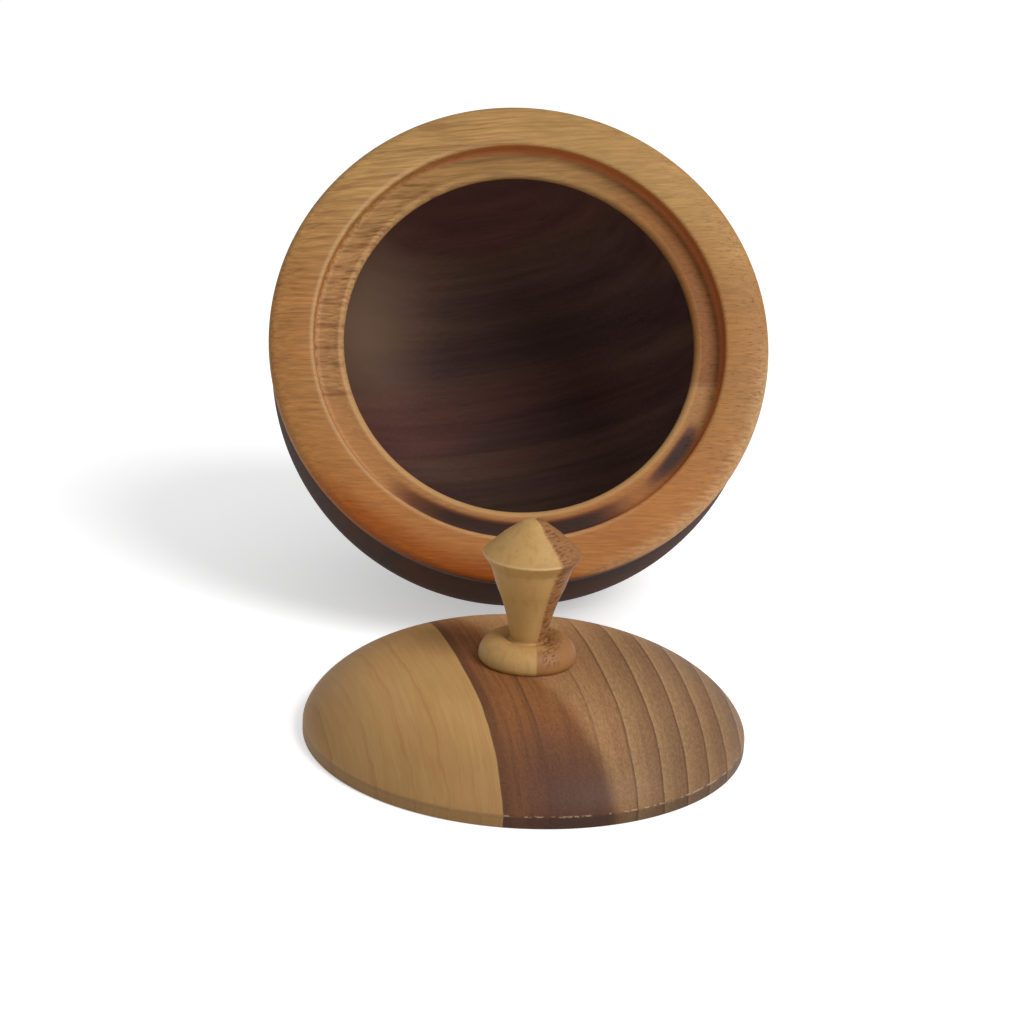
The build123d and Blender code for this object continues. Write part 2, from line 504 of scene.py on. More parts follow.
class Finish(Tree):
    """A wood finish: a Principled surface and the patterns that feed it."""

    def __init__(self, name, centre, tilt):
        self.material = bpy.data.materials.new(name)
        self.material.use_nodes = True
        graph = self.material.node_tree
        graph.nodes.clear()
        super().__init__(graph.nodes, graph.links)
        self.surface = graph.nodes.new("ShaderNodeBsdfPrincipled")
        output = graph.nodes.new("ShaderNodeOutputMaterial")
        graph.links.new(self.surface.outputs[0], output.inputs["Surface"])
        place = self.node("ShaderNodeTexCoord", None, None, "Object")
        axes = {"Vector": place, "Location": centre, "Rotation": tilt}
        self.place = self.node("ShaderNodeMapping", {"vector_type": "TEXTURE"}, axes)
        self.x, self.y, self.z = self.split(self.place)
        self.radius = self.root(self.x * self.x + self.y * self.y)

    def streaks(self, along, across, through, size, detail=FINE_DETAIL):
        """Noise from 0 to 1 in streaks of this size: length and width."""
        length, width = size
        spot = self.join(along / length, across / width, through / width)
        look = {"Vector": spot, "Scale": 1, "Detail": detail, "Roughness": STREAK_ROUGHNESS}
        return self.node("ShaderNodeTexNoise", None, look)

    def rise(self, value, low, high):
        """A soft step up: 0 up to low, 1 from high on."""
        ends = {"Value": value, "From Min": low, "From Max": high}
        return self.node("ShaderNodeMapRange", {"interpolation_type": "SMOOTHSTEP"}, ends)

    def fall(self, value, low, high):
        """A soft step down: 1 up to low, 0 from high on."""
        return 1 - self.rise(value, low, high)

    def between(self, value, up, down):
        """The band between a step up and a step down."""
        return self.rise(value, *up) * self.fall(value, *down)

    def near(self, distance, core, reach):
        """A line: 1 up to core away from it on both sides, 0 from reach on."""
        return self.fall(abs(distance), core, reach)

    def vary(self, pattern, amount):
        """A pattern of 0 to 1 as an equal swing to both sides of nothing."""
        return (pattern - 0.5) * amount

    def towards(self, direction):
        """How far a point lies in a direction across the axis."""
        return self.x * direction[0] + self.y * direction[1]

    def blend(self, share, first, second):
        """A colour between two others."""
        settings = {"data_type": "RGBA", "clamp_factor": True}
        colours = [c if isinstance(c, Value) else (*c, 1) for c in (first, second)]
        return self.node("ShaderNodeMix", settings, {0: share, 6: colours[0], 7: colours[1]}, 2)

    def shade(self, colour, factor):
        """A colour made lighter or darker."""
        settings = {"operation": "SCALE"}
        return self.node("ShaderNodeVectorMath", settings, {0: colour, "Scale": factor})

    def mottle(self, colour, *swings):
        """A colour varied by patterns, each given with its amount."""
        return self.shade(colour, 1 + sum(self.vary(*swing) for swing in swings))

    def root(self, value):
        return self.node("ShaderNodeMath", {"operation": "SQRT"}, {0: value})

    def bearing(self):
        """The angle round the lathe axis, in radians, 0 to the right."""
        return self.node("ShaderNodeMath", {"operation": "ARCTAN2"}, {0: self.y, 1: self.x})

    def wear(self, colour, roughness, height, relief, specular):
        """Feeds the surface: its colour, roughness and relief, and its plain gloss."""
        bump = {"Height": height, "Distance": relief, "Strength": 1.0}
        feeds = {
            "Base Color": colour,
            "Roughness": roughness,
            "Normal": self.node("ShaderNodeBump", None, bump),
        }
        for name, value in feeds.items():
            self.links.new(value.socket, self.surface.inputs[name])
        self.surface.inputs["Specular IOR Level"].default_value = specular
        return self.material


print("a finish has streaks, soft steps, blends and shades")

# %% [markdown]
# The body is dark walnut, oiled. Its grain lies across the bowl and rises a little to the
# right, as the streaks inside show. Long brown and near-black bands come first, with
# redder patches over them, then narrower lines and fine fibres. Across the grain the
# patterns change slowly with the depth, so the end grain of the foot isn't blotchy.

# %% Grain of the body
GRAIN_RISE = math.radians(12)
RING_STRETCH = 0.18
BODY_BANDS = mm(300, 11)
BODY_LINES = mm(200, 3.0)
BODY_FIBRES = mm(24, 0.6)
BODY_PATCHES = mm(90, 26)


def lay_body_grain(wood):
    x, y, z = wood.x, wood.y, wood.z
    along = x * math.cos(GRAIN_RISE) + y * math.sin(GRAIN_RISE)
    across = y * math.cos(GRAIN_RISE) - x * math.sin(GRAIN_RISE)
    ring = z * RING_STRETCH
    wood.bands = wood.streaks(along, across, ring, BODY_BANDS, PLAIN_DETAIL)
    wood.lines = wood.streaks(along, across, ring, BODY_LINES, PLAIN_DETAIL)
    wood.fibres = wood.streaks(along, across, z, BODY_FIBRES)
    wood.patches = wood.streaks(along, across, ring, BODY_PATCHES, PLAIN_DETAIL)


print("body bands are", round(BODY_BANDS[1] / MM, 1), "mm wide")

# %% [markdown]
# The inside is told from the outside by a squashed ball that follows the hollow: whatever
# lies within its reach is inside. There painted light makes the wood lighter, most on the
# wall, and painted shade keeps it darker low down; a painted grey highlight lies on the
# left. The outside is redder, and a painted sheen makes it paler on the left. Each step
# gives where a mask begins and ends, in metres from the axis of the bowl.

# %% Dark walnut
WALNUT_DEEP = (0.034, 0.018, 0.016)
WALNUT_BROWN = (0.046, 0.025, 0.018)
WALNUT_RED = (0.052, 0.021, 0.017)
WALNUT_OUTSIDE = (0.060, 0.020, 0.007)
WALNUT_SHEEN = (0.043, 0.025, 0.015)
WALNUT_GREY_HIGHLIGHT = (0.086, 0.052, 0.034)
BAND_STEP = (0.40, 0.60)
PATCH_STEP = (0.46, 0.62)
PATCH_SHARE = 0.8
BODY_LINE_CONTRAST = 0.8
BODY_FIBRE_CONTRAST = 0.5
CAVITY_SQUASH = 1.44     # the square of how much wider the hollow is than deep
INSIDE_STEP = mm(53, 56)
GREY_HIGHLIGHT_LEFT = mm(14, 46)
GREY_HIGHLIGHT_UP = (mm(-16, 14), mm(24, 46))
GREY_HIGHLIGHT_SHARE = 0.75
SHEEN_LEFT_STEP = mm(20, 52)
SHEEN_SHARE = 0.5
WALL_STEP = mm(20, 46)
WALL_SHADE_TOWARDS = (-0.75, -0.66)
WALL_SHADE_STEP = mm(0, 34)
LOW_SHADE_STEP = mm(17, 34)
INSIDE_LIGHT_LIFT, WALL_LIGHT_LIFT, LOW_SHADE_LOSS = 0.75, 0.95, 0.50
WALNUT_ROUGHNESS, WALNUT_ROUGH_FIBRES = 0.52, 0.16
WALNUT_GRAIN_HEIGHT = 0.5


def hollow_mask(wood):
    """1 inside the bowl and 0 outside it."""
    settings = {"operation": "MINIMUM"}
    deep = wood.node("ShaderNodeMath", settings, {0: wood.z + BELLY_DEPTH * MM, 1: 0})
    reach = wood.root(wood.radius * wood.radius + deep * deep * CAVITY_SQUASH)
    return wood.fall(reach, *INSIDE_STEP)


def dark_walnut():
    wood = Finish("dark walnut", mouth, bowl_tilt)
    lay_body_grain(wood)
    inside = hollow_mask(wood)
    brown = wood.blend(inside, WALNUT_OUTSIDE, WALNUT_BROWN)
    colour = wood.blend(wood.rise(wood.bands, *BAND_STEP), WALNUT_DEEP, brown)
    patches = wood.rise(wood.patches, *PATCH_STEP)
    colour = wood.blend(patches * PATCH_SHARE, colour, WALNUT_RED)
    swings = (wood.lines, BODY_LINE_CONTRAST), (wood.fibres, BODY_FIBRE_CONTRAST)
    colour = wood.mottle(colour, *swings)

    # A painted grey highlight on the left of the inside.
    grey_highlight = wood.rise(-wood.x, *GREY_HIGHLIGHT_LEFT) * wood.between(wood.y, *GREY_HIGHLIGHT_UP)
    colour = wood.blend(inside * grey_highlight * GREY_HIGHLIGHT_SHARE, colour, WALNUT_GREY_HIGHLIGHT)
    # A painted sheen makes the outside paler on the left.
    pale = (1 - inside) * wood.rise(-wood.x, *SHEEN_LEFT_STEP)
    colour = wood.blend(pale * SHEEN_SHARE, colour, WALNUT_SHEEN)
    # Painted light lifts the inside, most on the wall away from the lower left, and painted shade
    # keeps it darker low down.
    wall = wood.rise(wood.radius, *WALL_STEP)
    wall = wall * wood.fall(wood.towards(WALL_SHADE_TOWARDS), *WALL_SHADE_STEP)
    low = wood.rise(-wood.y, *LOW_SHADE_STEP)
    lift = INSIDE_LIGHT_LIFT + wall * WALL_LIGHT_LIFT - low * LOW_SHADE_LOSS
    colour = wood.shade(colour, 1 + inside * lift)
    roughness = WALNUT_ROUGHNESS + wood.fibres * WALNUT_ROUGH_FIBRES
    height = (wood.fibres + wood.lines) * WALNUT_GRAIN_HEIGHT
    return wood.wear(colour, roughness, height, relief=0.03 * MM, specular=0.03)


dark_finish = dark_walnut()
print("made", dark_finish.name)

# %% [markdown]
# The ring is a pale board with its grain level, a little wavy, and dipping to the right
# near the top. From coarse to fine it has clouds, bands, lines and fibres, and short open
# pores that are drawn as dashes.

# %% Grain of the ring
RIM_WAVES = mm(30, 14)
RIM_CLOUDS = mm(30, 16)
RIM_BANDS = mm(30, 1.7)
RIM_LINES = mm(16, 0.8)
RIM_FIBRES = mm(5, 0.35)
RIM_DASHES = mm(3.0, 0.38)
RIM_WAVE_HEIGHT = 3 * MM
RIM_DIP = 0.10
DIP_STEP = mm(-10, 40)
DASH_STEP = (0.58, 0.66)
RIGHT_STEP = mm(-35, 35)


def lay_rim_grain(wood):
    x, y, z = wood.x, wood.y, wood.z
    waves = wood.vary(wood.streaks(x, y, z, RIM_WAVES, SMOOTH_DETAIL), RIM_WAVE_HEIGHT)
    level = y + waves - x * wood.rise(y, *DIP_STEP) * RIM_DIP
    wood.clouds = wood.streaks(x, y, z, RIM_CLOUDS)
    wood.bands = wood.streaks(x, level, z, RIM_BANDS, PLAIN_DETAIL)
    wood.lines = wood.streaks(x, level, z, RIM_LINES)
    wood.fibres = wood.streaks(x, level, z, RIM_FIBRES)
    wood.dashes = wood.rise(wood.streaks(x, level, z, RIM_DASHES), *DASH_STEP)
    wood.right = wood.rise(x, *RIGHT_STEP)


print("rim lines are", round(RIM_LINES[1] / MM, 1), "mm wide")

# %% [markdown]
# Light, brown and orange zones lie round the board. They are steps in the distance to one
# side, made ragged by the clouds. At the lower left the outer edge turns under and carries
# painted shade, orange with warm light bounced up from below. At the lower right the
# edge is worn pale.

# %% Zones of the ring
RIM_TOP = (0.37, 0.205, 0.069)
RIM_LEFT = (0.34, 0.152, 0.045)
RIM_RIGHT = (0.33, 0.150, 0.044)
RIM_LOW = (0.37, 0.143, 0.036)
RIM_BOUNCE_ORANGE = (0.28, 0.069, 0.007)
RIM_EDGE_WEAR_AND_HIGHLIGHT = (0.55, 0.36, 0.19)
TOP_STEP = mm(20, 60)
TOP_RAGGED = 30 * MM
BOTTOM_STEP = mm(25, 60)
BOTTOM_RAGGED = 20 * MM
OUTER_STEP = mm(59, 66)
OUTER_RAGGED = 6 * MM
BOUNCE_TOWARDS = (-0.34, -0.94)
BOUNCE_STEP = mm(48, 60)
WORN_TOWARDS = (0.82, -0.57)
WORN_SIDE_STEP = mm(44, 60)
WORN_STEP = mm(60.5, 65.0)
WORN_RAGGED = 5 * MM
WORN_SHARE = 0.5


def rim_zones(wood):
    y, clouds = wood.y, wood.clouds
    colour = wood.blend(wood.right, RIM_LEFT, RIM_RIGHT)
    colour = wood.blend(wood.rise(y + clouds * TOP_RAGGED, *TOP_STEP), colour, RIM_TOP)
    colour = wood.blend(wood.rise(-y + clouds * BOTTOM_RAGGED, *BOTTOM_STEP), colour, RIM_LOW)
    # Painted shade on the outer edge at the lower left, orange with warm bounced light.
    orange = wood.rise(wood.radius + clouds * OUTER_RAGGED, *OUTER_STEP)
    orange = orange * wood.rise(wood.towards(BOUNCE_TOWARDS), *BOUNCE_STEP)
    colour = wood.blend(orange, colour, RIM_BOUNCE_ORANGE)
    worn = wood.rise(wood.radius + wood.vary(wood.lines, WORN_RAGGED), *WORN_STEP)
    worn = worn * wood.rise(wood.towards(WORN_TOWARDS), *WORN_SIDE_STEP)
    return wood.blend(worn * WORN_SHARE, colour, RIM_EDGE_WEAR_AND_HIGHLIGHT)


print("the ring has an orange and a worn stretch of edge")

# %% [markdown]
# The board's joint crosses the floor of the seat as a thin dark line on both sides. Above
# it the seat's floor is browner, and on the left it has strong dark streaks. Below it, on
# the left, the floor is pale and smooth.

# %% Seat of the ring
RIM_SEAT = (0.39, 0.205, 0.082)
RIM_SEAT_TOP = (0.29, 0.155, 0.052)
RIM_SEAT_RIGHT = (0.19, 0.060, 0.009)
RIM_SEAT_LOW = (0.44, 0.222, 0.085)
RIM_LINE = (0.17, 0.062, 0.020)
SEAT_DEPTH_STEP = mm(2.6, 3.1)
SEAT_EDGE_STEP = mm(52.6, 53.2)
SEAT_TOP_STEP = mm(15, 45)
SEAT_RIGHT_STEP = mm(10, 40)
SEAT_SHARE, SEAT_LOW_SHARE = 0.85, 0.6
JOINT_SLOPE = 0.058
JOINT_LEVEL = -12.7 * MM
JOINT_STEP = mm(0, 0.6)
JOINT_LINE = mm(0.15, 0.8)
JOINT_RAGGED = 0.5 * MM
JOINT_SHARE = 0.6
UPPER_STEP = mm(-35, 5)
STREAKS_ALL, STREAKS_LEFT, STREAKS_SEAT, STREAKS_LOW_LOSS = 0.10, 0.22, 0.17, 0.8
STREAK_BAND_STEP = (0.48, 0.68)
STREAK_BAND_SHARE = 1.3
RIM_LINE_CONTRAST, STREAKY_CONTRAST = 0.40, 2.4
RIM_FIBRE_CONTRAST = 0.60
RIM_CLOUD_CONTRAST = 0.30


def rim_seat(wood, colour):
    x, y, left = wood.x, wood.y, 1 - wood.right
    floor = wood.rise(-wood.z, *SEAT_DEPTH_STEP) * wood.fall(wood.radius, *SEAT_EDGE_STEP)
    from_joint = y - x * JOINT_SLOPE - JOINT_LEVEL
    above = wood.rise(from_joint, *JOINT_STEP)
    seat = wood.blend(wood.rise(y, *SEAT_TOP_STEP), RIM_SEAT, RIM_SEAT_TOP)
    seat = wood.blend(wood.rise(x, *SEAT_RIGHT_STEP), seat, RIM_SEAT_RIGHT)
    colour = wood.blend(floor * above * SEAT_SHARE, colour, seat)
    colour = wood.blend(floor * (1 - above) * left * SEAT_LOW_SHARE, colour, RIM_SEAT_LOW)

    streaky = STREAKS_ALL + STREAKS_LEFT * left * wood.rise(y, *UPPER_STEP)
    streaky = streaky + STREAKS_SEAT * floor * above * left
    streaky = streaky * (1 - STREAKS_LOW_LOSS * floor * (1 - above))
    dark = wood.rise(wood.bands, *STREAK_BAND_STEP) * streaky * STREAK_BAND_SHARE
    colour = wood.blend(dark, colour, RIM_LINE)
    line_contrast = RIM_LINE_CONTRAST + streaky * STREAKY_CONTRAST
    swings = (wood.lines, line_contrast), (wood.fibres, RIM_FIBRE_CONTRAST)
    colour = wood.mottle(colour, *swings)
    colour = wood.mottle(colour, (wood.clouds, RIM_CLOUD_CONTRAST))
    joint = wood.near(from_joint + wood.fibres * JOINT_RAGGED, *JOINT_LINE)
    return wood.blend(joint * floor * JOINT_SHARE, colour, RIM_LINE)


print("the joint lies", round(-JOINT_LEVEL / MM, 1), "mm below the middle of the mouth")

# %% [markdown]
# Turning leaves its own marks, and the edges carry painted light and shade. The wall of
# the seat carries painted shade, a little all round and most of all on the right, where it
# is in shade, with a painted red glow of bounced light. The arris above it carries a
# painted highlight on the left, the lip is a little pale with a painted highlight along its
# lower part, and one thin tool line runs in the groove at the upper right.

# %% Turned edges of the ring
RIM_WALL_SHADE = (0.39, 0.102, 0.026)
RIM_LIP_PALE_AND_HIGHLIGHT = (0.46, 0.270, 0.110)
SEAT_WALL_BAND = (mm(51.6, 52.8), mm(53.0, 53.4))
SHADED_TOWARDS = (1, 0.5)
SHADED_STEP = mm(-20, 30)
SEAT_WALL_SHADE_SHARE, SEAT_WALL_RIGHT_SHADE_SHARE = 0.10, 0.70
ARRIS_HIGHLIGHT_BAND = (mm(53.1, 53.5), mm(53.8, 54.6))
ARRIS_HIGHLIGHT_SHARE = 0.35
LIP_STEP = mm(46.6, 47.8)
LIP_HIGHLIGHT_STEP = mm(-10, 30)
LIP_SHARE, LIP_HIGHLIGHT_SHARE = 0.1, 0.5
TOOL_LINE_RADIUS = 49.9 * MM
TOOL_LINE = mm(0.05, 0.22)
TOOL_LINE_SPAN = ((0.58, 0.66), (0.80, 0.88))
TOOL_LINE_SHARE = 0.6


def rim_edges(wood, colour):
    # Painted shade on the wall of the seat, most on the right, with a red glow of bounced light.
    wall = wood.between(wood.radius, *SEAT_WALL_BAND)
    shaded = wood.rise(wood.towards(SHADED_TOWARDS), *SHADED_STEP)
    wall = wall * (SEAT_WALL_SHADE_SHARE + SEAT_WALL_RIGHT_SHADE_SHARE * shaded)
    colour = wood.blend(wall, colour, RIM_WALL_SHADE)
    # A painted highlight on the arris, on its lit left side.
    arris = wood.between(wood.radius, *ARRIS_HIGHLIGHT_BAND)
    colour = wood.blend(arris * (1 - shaded) * ARRIS_HIGHLIGHT_SHARE, colour, RIM_EDGE_WEAR_AND_HIGHLIGHT)
    # The lip is a little pale all round, with a painted highlight along its lower part.
    low = wood.rise(-wood.y, *LIP_HIGHLIGHT_STEP)
    lip = wood.fall(wood.radius, *LIP_STEP) * (LIP_SHARE + LIP_HIGHLIGHT_SHARE * low)
    colour = wood.blend(lip, colour, RIM_LIP_PALE_AND_HIGHLIGHT)
    line = wood.near(wood.radius - TOOL_LINE_RADIUS, *TOOL_LINE)
    line = line * wood.between(wood.bearing(), *TOOL_LINE_SPAN)
    return wood.blend(line * TOOL_LINE_SHARE, colour, RIM_LINE)


print("the tool line lies", round(TOOL_LINE_RADIUS / MM, 1), "mm from the axis")

# %% [markdown]
# At the bottom the groove was turned almost through to the dark wood, which shows as soft
# dark streaks: a long one in the middle and a short one on the right. They are masks in
# the angle and the distance from the axis, with a brown rim round a near-black middle.

# %% Pale rim wood
RIM_STAIN = (0.11, 0.028, 0.012)
RIM_STREAK = (0.038, 0.014, 0.008)
STAIN_RAGGED = 0.2
LONG_STAIN = ((-2.45, -1.80), (-1.35, -0.75))
SHORT_STAIN = ((-0.95, -0.62), (-0.58, -0.34))
SHORT_STAIN_LOSS = 0.7
GROOVE_STEP = mm(47.2, 49.6)
GROOVE_TOP_STEP = mm(-3.2, -1.6)
THIN_STEP = mm(50.2, 52.6)
STAIN_STEP = (0.05, 0.60)
STAIN_SHARE = 0.85
STREAK_STEP = (0.40, 0.95)
DASH_RIGHT_STEP = mm(30, 58)
DASH_LOSS, DASH_RIGHT_LOSS = 0.06, 0.22
RIM_ROUGHNESS, RIM_ROUGH_LINES, RIM_ROUGH_DASHES = 0.48, 0.12, 0.15
RIM_LINE_HEIGHT, RIM_FIBRE_HEIGHT = 0.6, 0.4


def rim_stains(wood, colour):
    ragged = wood.bearing() + wood.vary(wood.clouds, STAIN_RAGGED)
    short = wood.between(ragged, *SHORT_STAIN)
    short = short * (1 - wood.rise(wood.radius, *THIN_STEP) * SHORT_STAIN_LOSS)
    groove = wood.rise(wood.radius, *GROOVE_STEP) * wood.fall(wood.z, *GROOVE_TOP_STEP)
    stain = (wood.between(ragged, *LONG_STAIN) + short) * groove
    colour = wood.blend(wood.rise(stain, *STAIN_STEP) * STAIN_SHARE, colour, RIM_STAIN)
    return wood.blend(wood.rise(stain, *STREAK_STEP), colour, RIM_STREAK)


def pale_rim():
    wood = Finish("pale rim wood", mouth, bowl_tilt)
    lay_rim_grain(wood)
    colour = rim_stains(wood, rim_edges(wood, rim_seat(wood, rim_zones(wood))))
    loss = DASH_LOSS + DASH_RIGHT_LOSS * wood.rise(wood.x, *DASH_RIGHT_STEP)
    colour = wood.shade(colour, 1 - wood.dashes * loss)
    roughness = RIM_ROUGHNESS + wood.lines * RIM_ROUGH_LINES + wood.dashes * RIM_ROUGH_DASHES
    height = wood.lines * RIM_LINE_HEIGHT + wood.fibres * RIM_FIBRE_HEIGHT - wood.dashes
    return wood.wear(colour, roughness, height, relief=0.02 * MM, specular=0.2)


rim_finish = pale_rim()
print("made", rim_finish.name)

# %% [markdown]
# The lid is one board cut where pale sapwood meets brown heartwood. The two meet in an
# upright plane, and the growth rings are planes beside it that fan out a little. The dome
# cuts them, so they show as arcs with no further work: every pattern reads the layer, the
# distance across the rings. Through the board the patterns change slowly with the height.

# %% Grain of the lid
LID_WOBBLE = mm(60, 12)
LID_CLOUDS = mm(28, 16)
LID_DRIFT = mm(120, 9)
LID_LINES = mm(45, 1.3)
LID_FIBRES = mm(9, 0.4)
LID_STRANDS = mm(90, 0.9)
LID_PORES = mm(2.2, 0.42)
LID_GRIT = mm(0.7, 0.7)
WOBBLE_WIDTH = 1.6 * MM
RING_FAN = 0.17
RING_FAN_LOSS = 1.35
RING_DEPTH = 0.08


def lay_lid_grain(wood):
    x, y, z = wood.x, wood.y, wood.z
    wood.wobble = wood.vary(wood.streaks(y, x, z, LID_WOBBLE), WOBBLE_WIDTH)
    layer = wood.layer = x + y * (RING_FAN - x * RING_FAN_LOSS) + wood.wobble
    depth = z * RING_DEPTH
    wood.clouds = wood.streaks(y, x, z, LID_CLOUDS)
    wood.drift = wood.streaks(y, layer, depth, LID_DRIFT, SMOOTH_DETAIL)
    wood.lines = wood.streaks(y, layer, depth, LID_LINES)
    wood.fibres = wood.streaks(y, layer, depth, LID_FIBRES)
    wood.strands = wood.streaks(y, layer, depth, LID_STRANDS, SMOOTH_DETAIL)
    wood.pores = wood.streaks(y, layer, z, LID_PORES, PLAIN_DETAIL)
    wood.grit = wood.streaks(y, layer, z, LID_GRIT, PLAIN_DETAIL)


print("lid pores are", round(LID_PORES[0] / MM, 1), "mm long")

# %% [markdown]
# Sapwood is pale and nearly plain: soft brown lines, and a thin brown arc at the end of
# each of its wide rings, which comes and goes.

# %% Sapwood
SAP_PALE = (0.43, 0.245, 0.090)
SAP_BROWN = (0.34, 0.165, 0.052)
SAP_STEP = (0.40, 0.62)
SAP_SHARE = 0.45
SAP_RING = 7.2 * MM
SAP_RING_WOBBLE = 4
SAP_ARC = ((0.80, 0.97), (0.98, 1.0))
DRIFT_STEP = (0.42, 0.58)
SAP_ARC_SHARE, SAP_ARC_DRIFT_SHARE = 0.15, 0.5
SAP_LINES, SAP_CLOUDS = 0.6, 0.4


def sapwood(wood):
    tone = wood.lines * SAP_LINES + wood.clouds * SAP_CLOUDS
    colour = wood.blend(wood.rise(tone, *SAP_STEP) * SAP_SHARE, SAP_PALE, SAP_BROWN)
    ring = ((wood.layer + wood.wobble * SAP_RING_WOBBLE) / SAP_RING).fraction()
    share = SAP_ARC_SHARE + SAP_ARC_DRIFT_SHARE * wood.rise(wood.drift, *DRIFT_STEP)
    return wood.blend(wood.between(ring, *SAP_ARC) * share, colour, SAP_BROWN)


print("sapwood rings are", round(SAP_RING / MM, 1), "mm wide")

# %% [markdown]
# Heartwood rings grow narrower to the right. A ring number is worked out from the layer,
# and its fraction says how far through a ring a point lies. Each ring starts pale at a
# crisp dark line and darkens up to the next, with a softer dark line in its middle.

# %% Heartwood rings
HEART_TAN = (0.33, 0.166, 0.069)
HEART_OLIVE = (0.265, 0.148, 0.067)
HEART_DARK = (0.190, 0.096, 0.044)
HEART_LIGHT = (0.36, 0.230, 0.120)
RING_EDGE = (0.095, 0.038, 0.018)
FIRST_RING_RATE = 110.7
RING_RATE_GAIN = 737.0
RING_RAGGED = 1.2
RING_DARKENS = (0.10, 0.95)
WARM_STEP = mm(6, 26)
WARM_SHARE = 0.8
LATE_STEP = mm(4, 14)
YOUNG_STEP = (0.02, 0.20)
YOUNG_SHARE = 0.30
FUZZY_LINE = ((0.42, 0.54), (0.56, 0.70))
FUZZY_RAGGED = 0.3
FUZZY_SHARE = 0.30
CRISP_LINE = ((0.88, 0.975), (0.990, 1.0))
BROKEN_STEP = (0.40, 0.56)
BROKEN_LEAST, BROKEN_REST = 0.55, 0.45
CRISP_SHARE, CRISP_LATE_SHARE = 0.25, 0.50


def heartwood_rings(wood):
    layer = wood.layer
    ring = (layer * (FIRST_RING_RATE + layer * RING_RATE_GAIN)).fraction()
    late = wood.rise(layer, *LATE_STEP)
    darkened = wood.rise(ring + wood.vary(wood.lines, RING_RAGGED), *RING_DARKENS)
    colour = wood.blend(darkened, HEART_OLIVE, HEART_DARK)
    colour = wood.blend(wood.fall(layer, *WARM_STEP) * WARM_SHARE, colour, HEART_TAN)
    young = wood.fall(ring, *YOUNG_STEP)
    colour = wood.blend(young * late * YOUNG_SHARE, colour, HEART_LIGHT)
    fuzzy = wood.between(ring + wood.vary(wood.fibres, FUZZY_RAGGED), *FUZZY_LINE)
    colour = wood.blend(fuzzy * late * FUZZY_SHARE, colour, HEART_DARK)
    broken = BROKEN_LEAST + BROKEN_REST * wood.rise(wood.fibres, *BROKEN_STEP)
    crisp = wood.between(ring, *CRISP_LINE) * broken
    return wood.blend(crisp * (CRISP_SHARE + CRISP_LATE_SHARE * late), colour, RING_EDGE)


ring_width = 1 / FIRST_RING_RATE / MM
print("a heartwood ring in the middle of the lid is", round(ring_width, 1), "mm wide")

# %% [markdown]
# Beside the sapwood the heartwood is dark red, and purple at the front, with long darker
# strands and one fine seam. Its right edge slants across the rings and is soft. The very
# start of the heartwood is darkest. Painted light makes the far side of the lid, which
# faces the bowl, paler and lighter.

# %% Dark heartwood
HEART_RED = (0.240, 0.092, 0.030)
HEART_PURPLE = (0.104, 0.042, 0.024)
HEART_EDGE = -16.45 * MM
FRONT_STEP = mm(22, 52)
SLANT_TOWARDS = (0.93, 0.37)
SLANT_PLACE = 4.0 * MM
SLANT_RAGGED = 5 * MM
SLANT_FRONT = 2 * MM
SLANT_STEP = mm(-1.5, 3.5)
PURPLE_STEP = mm(-14, -4)
PURPLE_LEAST, PURPLE_REST = 0.55, 0.45
STRAND_STEP = (0.48, 0.66)
STRAND_LEAST, STRAND_SHARE = 0.08, 0.36
SEAM_PLACE = -5.4 * MM
SEAM_LINE = mm(0.1, 0.5)
SEAM_SHARE = 0.6
START_STEP = (HEART_EDGE + 0.9 * MM, HEART_EDGE + 3.6 * MM)
START_SHARE, START_FRONT_LOSS = 0.8, 0.4
GRIT_CONTRAST = 0.45
PORE_CONTRAST, PORE_DARK_LOSS = 0.9, 0.3
FAR_LIGHT_PALE_STEP = mm(12, 45)
FAR_LIGHT_PALE_SHARE = 0.35
FAR_LIGHT_STEP = mm(8, 40)
FAR_LIGHT_LIFT = 0.45


def heartwood(wood):
    layer = wood.layer
    front = wood.rise(-wood.y, *FRONT_STEP)
    slant = wood.towards(SLANT_TOWARDS) + SLANT_PLACE + wood.vary(wood.clouds, SLANT_RAGGED)
    dusk = wood.fall(slant - front * SLANT_FRONT, *SLANT_STEP)
    purple = (PURPLE_LEAST + PURPLE_REST * wood.rise(layer, *PURPLE_STEP)) * front
    dark = wood.blend(purple, HEART_RED, HEART_PURPLE)
    strands = STRAND_LEAST + wood.rise(wood.strands, *STRAND_STEP) * STRAND_SHARE
    dark = wood.blend(strands, dark, RING_EDGE)
    seam = wood.near(layer - SEAM_PLACE, *SEAM_LINE)
    dark = wood.blend(seam * SEAM_SHARE, dark, RING_EDGE)

    colour = wood.blend(dusk, heartwood_rings(wood), dark)
    start = wood.fall(layer, *START_STEP) * (START_SHARE - START_FRONT_LOSS * front)
    colour = wood.blend(start, colour, RING_EDGE)
    pore_contrast = PORE_CONTRAST - PORE_DARK_LOSS * dusk
    colour = wood.mottle(colour, (wood.grit, GRIT_CONTRAST), (wood.pores, pore_contrast))
    # Painted light makes the far side of the lid, which faces the bowl, paler and lighter.
    far_light_pale = wood.rise(wood.y, *FAR_LIGHT_PALE_STEP)
    colour = wood.blend(far_light_pale * FAR_LIGHT_PALE_SHARE, colour, HEART_LIGHT)
    return wood.shade(colour, 1 + wood.rise(wood.y, *FAR_LIGHT_STEP) * FAR_LIGHT_LIFT)


print("the heartwood starts", round(-HEART_EDGE / MM, 1), "mm left of the middle")

# %% [markdown]
# Painted shade makes the dome a little darker towards its edge, and painted light makes
# its middle a little lighter. The thin upright edge is darker still, a line of dirt sits
# above it on the sapwood, and small pale chips have broken out of the heartwood's edge at
# the front.

